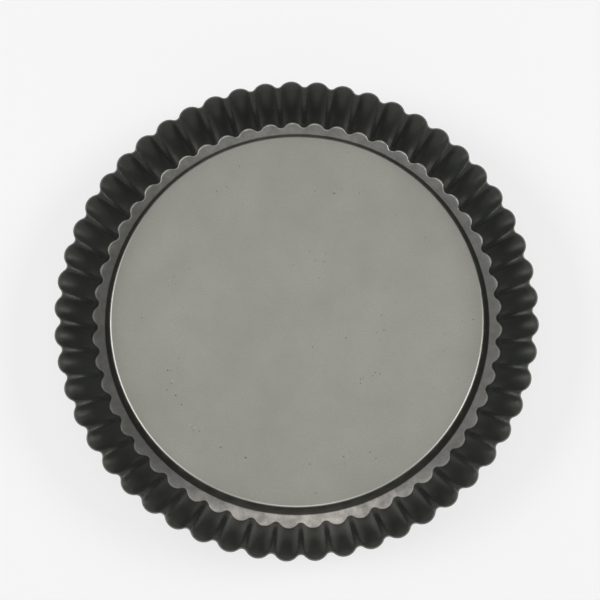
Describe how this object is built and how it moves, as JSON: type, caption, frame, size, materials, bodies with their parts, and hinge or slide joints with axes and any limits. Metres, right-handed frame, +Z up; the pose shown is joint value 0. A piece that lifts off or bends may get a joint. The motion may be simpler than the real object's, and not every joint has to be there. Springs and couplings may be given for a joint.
{
  "type": "fluted quiche dish",
  "caption": "Shallow round baking dish with a fluted leaning wall, a narrow moat and a raised flat base that lifts out.",
  "frame": {"origin": "centre of the underside of the foot, on the surface the dish stands on", "axes": "+Z up along the axis of the dish; one flute's tip points along +X"},
  "size_m": [0.2498, 0.2498, 0.0291],
  "materials": {
    "ring_coating": "satin dark grey non-stick coating on pressed steel",
    "base_coating": "satin grey non-stick coating, rubbed lighter by use"
  },
  "bodies": {
    "ring_body": {"fluted_ring": "ring_coating"},
    "base_body": {"loose_base": "base_coating"}
  },
  "joints": [
    {"name": "base_lift", "type": "slide", "parent": "ring_body", "child": "base_body", "axis": [0, 0, 1], "range_m": [0, 0.03]}
  ]
}
